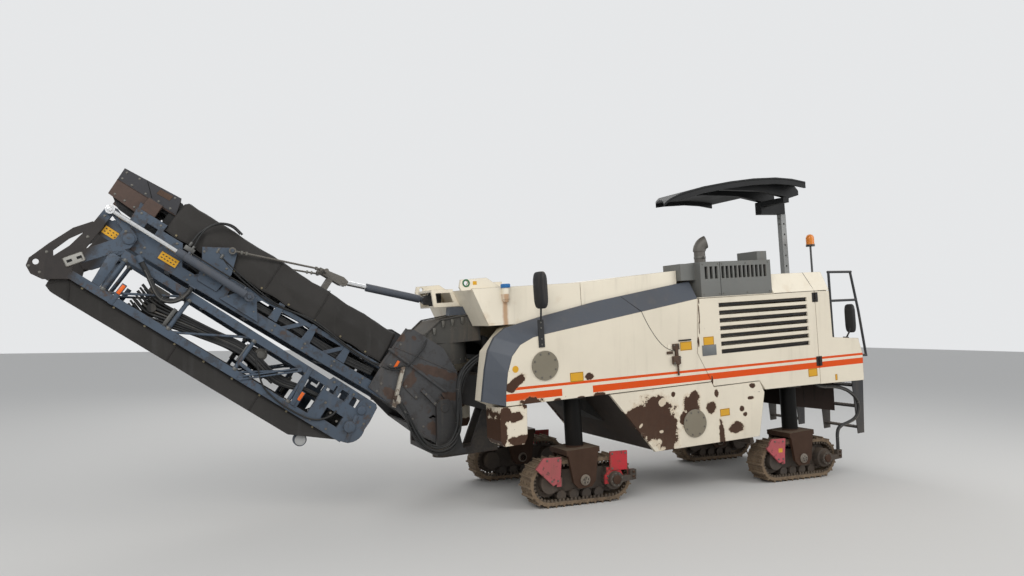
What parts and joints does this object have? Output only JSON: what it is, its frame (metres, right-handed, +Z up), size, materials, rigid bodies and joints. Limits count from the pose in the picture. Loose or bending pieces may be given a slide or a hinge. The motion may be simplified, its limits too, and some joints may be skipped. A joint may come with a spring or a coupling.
{
  "type": "cold planer milling machine",
  "caption": "Compact tracked cold planer with a milling drum under the body, four steered track legs, an operator canopy and a folded front discharge conveyor.",
  "frame": {"origin": "middle of the overall length and width, on the ground under the tracks", "axes": "+X forward, towards the discharge conveyor; +Y to the left side of the machine; +Z up"},
  "size_m": [9.97, 2.299, 3.9379],
  "materials": {
    "white_paint": "satin, chipped and stained",
    "slate_paint": "satin",
    "dark_steel": "dusty satin",
    "conveyor_paint": "dusty satin",
    "rusty_steel": "rusty, matt",
    "track_steel": "rusty, caked with soil",
    "drum_steel": "worn, dusty",
    "engine_iron": "matt",
    "grey_paint": "dusty matt",
    "canvas": "dusty, matt",
    "belt_rubber": "matt",
    "canopy_plastic": "matt",
    "galvanised": "dull",
    "rod_chrome": "polished",
    "amber_lens": "gloss",
    "mirror_black": "matt",
    "seat_black": "matt"
  },
  "bodies": {
    "chassis": {"main_frame": "dark_steel", "front_wings": "white_paint", "side_panels": "white_paint", "edge_bands": "slate_paint", "water_tank": "white_paint", "engine_cover": "white_paint", "engine_block": "engine_iron", "hood_shell": "white_paint", "rear_panels": "white_paint", "air_intake_box": "grey_paint", "exhaust_pipe": "grey_paint", "drum_housing": "rusty_steel", "drum_side_plates": "white_paint", "cover_discs": "grey_paint", "rear_ballast": "rusty_steel", "primary_conveyor": "dark_steel", "discharge_hood": "belt_rubber", "slew_console": "dark_steel", "lift_console": "white_paint", "guard_rails": "dark_steel", "rear_ladder": "dark_steel", "platform_floor": "dark_steel", "operator_console": "dark_steel", "operator_seat": "seat_black", "canopy_roof": "canopy_plastic", "canopy_post": "galvanised", "beacon": "amber_lens", "mirrors": "mirror_black", "slew_hose": "belt_rubber", "rear_hose": "belt_rubber"},
    "leg_fl": {"leg_fl_column": "rusty_steel", "leg_fl_frame": "rusty_steel", "leg_fl_track": "track_steel"},
    "leg_fr": {"leg_fr_column": "rusty_steel", "leg_fr_frame": "rusty_steel", "leg_fr_track": "track_steel"},
    "leg_rl": {"leg_rl_column": "rusty_steel", "leg_rl_frame": "rusty_steel", "leg_rl_track": "track_steel"},
    "leg_rr": {"leg_rr_column": "rusty_steel", "leg_rr_frame": "rusty_steel", "leg_rr_track": "track_steel"},
    "drum": {"milling_drum": "drum_steel"},
    "door": {"louvre_door": "white_paint"},
    "slewing_bracket": {"slew_bracket": "dark_steel"},
    "rear_conveyor": {"conveyor_boot": "dark_steel", "conveyor_rear_frame": "conveyor_paint", "conveyor_head_box": "conveyor_paint", "conveyor_rear_cover": "canvas", "conveyor_belt_rear": "belt_rubber", "suspension_ropes": "galvanised", "fold_hose": "belt_rubber"},
    "front_conveyor": {"conveyor_front_frame": "conveyor_paint", "conveyor_front_cover": "canvas", "conveyor_belt_front": "belt_rubber"},
    "fold_cylinder_barrels": {"fold_barrels": "conveyor_paint"},
    "fold_cylinder_rods": {"fold_rods": "rod_chrome"},
    "lift_cylinder_barrel": {"lift_barrel": "conveyor_paint"},
    "lift_cylinder_rod": {"lift_rod": "rod_chrome"}
  },
  "joints": [
    {"name": "steer_front_left", "type": "hinge", "parent": "chassis", "child": "leg_fl", "pos_m": [-0.396, 0.8, 0.29], "axis": [0.0663, 0, 0.9978], "range_deg": [-25, 25]},
    {"name": "steer_front_right", "type": "hinge", "parent": "chassis", "child": "leg_fr", "pos_m": [-0.396, -0.8, 0.29], "axis": [0.0663, 0, 0.9978], "range_deg": [-25, 25]},
    {"name": "steer_rear_left", "type": "hinge", "parent": "chassis", "child": "leg_rl", "pos_m": [-3.656, 0.8, 0.29], "axis": [0.0663, 0, 0.9978], "range_deg": [-20, 20], "deforming": ["rear_hose"]},
    {"name": "steer_rear_right", "type": "hinge", "parent": "chassis", "child": "leg_rr", "pos_m": [-3.656, -0.8, 0.29], "axis": [0.0663, 0, 0.9978], "range_deg": [-20, 20]},
    {"name": "drum_spin", "type": "hinge", "parent": "chassis", "child": "drum", "pos_m": [-2.08745, -0.46, 1.03635], "axis": [0, 1, 0], "continuous": true},
    {"name": "louvre_door_hinge", "type": "hinge", "parent": "chassis", "child": "door", "pos_m": [-3.9269, 1.032, 1.83], "axis": [0.0663, 0, 0.9978], "range_deg": [0, 100]},
    {"name": "conveyor_slew", "type": "hinge", "parent": "chassis", "child": "slewing_bracket", "pos_m": [0.90669, 0, 0.54684], "axis": [0.0663, 0, 0.9978], "range_deg": [-45, 45], "deforming": ["slew_hose"]},
    {"name": "conveyor_lift", "type": "hinge", "parent": "slewing_bracket", "child": "rear_conveyor", "pos_m": [1.07352, 0, 1.09699], "axis": [0, -1, 0], "range_deg": [-15, 8]},
    {"name": "conveyor_fold", "type": "hinge", "parent": "rear_conveyor", "child": "front_conveyor", "pos_m": [4.18286, 0, 2.79466], "axis": [0, -1, 0], "range_deg": [0, 178], "deforming": ["fold_hose"]},
    {"name": "fold_barrel_swing", "type": "hinge", "parent": "rear_conveyor", "child": "fold_cylinder_barrels", "pos_m": [3.11757, 0, 2.2743], "axis": [0, -1, 0], "range_deg": [-16.23, 0.2]},
    {"name": "fold_rod_slide", "type": "slide", "parent": "fold_cylinder_barrels", "child": "fold_cylinder_rods", "axis": [0.8431, 0, 0.5378], "range_m": [-0.5161, 0.002]},
    {"name": "lift_barrel_swing", "type": "hinge", "parent": "slewing_bracket", "child": "lift_cylinder_barrel", "pos_m": [1.14773, 0, 2.2897], "axis": [0, -1, 0], "range_deg": [-18.73, 10.08]},
    {"name": "lift_rod_slide", "type": "slide", "parent": "lift_cylinder_barrel", "child": "lift_cylinder_rod", "axis": [0.982, 0, 0.1887], "range_m": [-0.1643, 0.3064]}
  ],
  "couplings": [
    {"joint": "steer_front_right", "follows": "steer_front_left", "ratio": 1},
    {"joint": "steer_rear_right", "follows": "steer_rear_left", "ratio": 1},
    {"joint": "fold_barrel_swing", "follows": "conveyor_fold", "ratio": -0.09005},
    {"joint": "fold_rod_slide", "follows": "conveyor_fold", "m_per_rad": -0.16548},
    {"joint": "lift_barrel_swing", "follows": "conveyor_lift", "ratio": 1.2356},
    {"joint": "lift_rod_slide", "follows": "conveyor_lift", "m_per_rad": -1.1625}
  ]
}
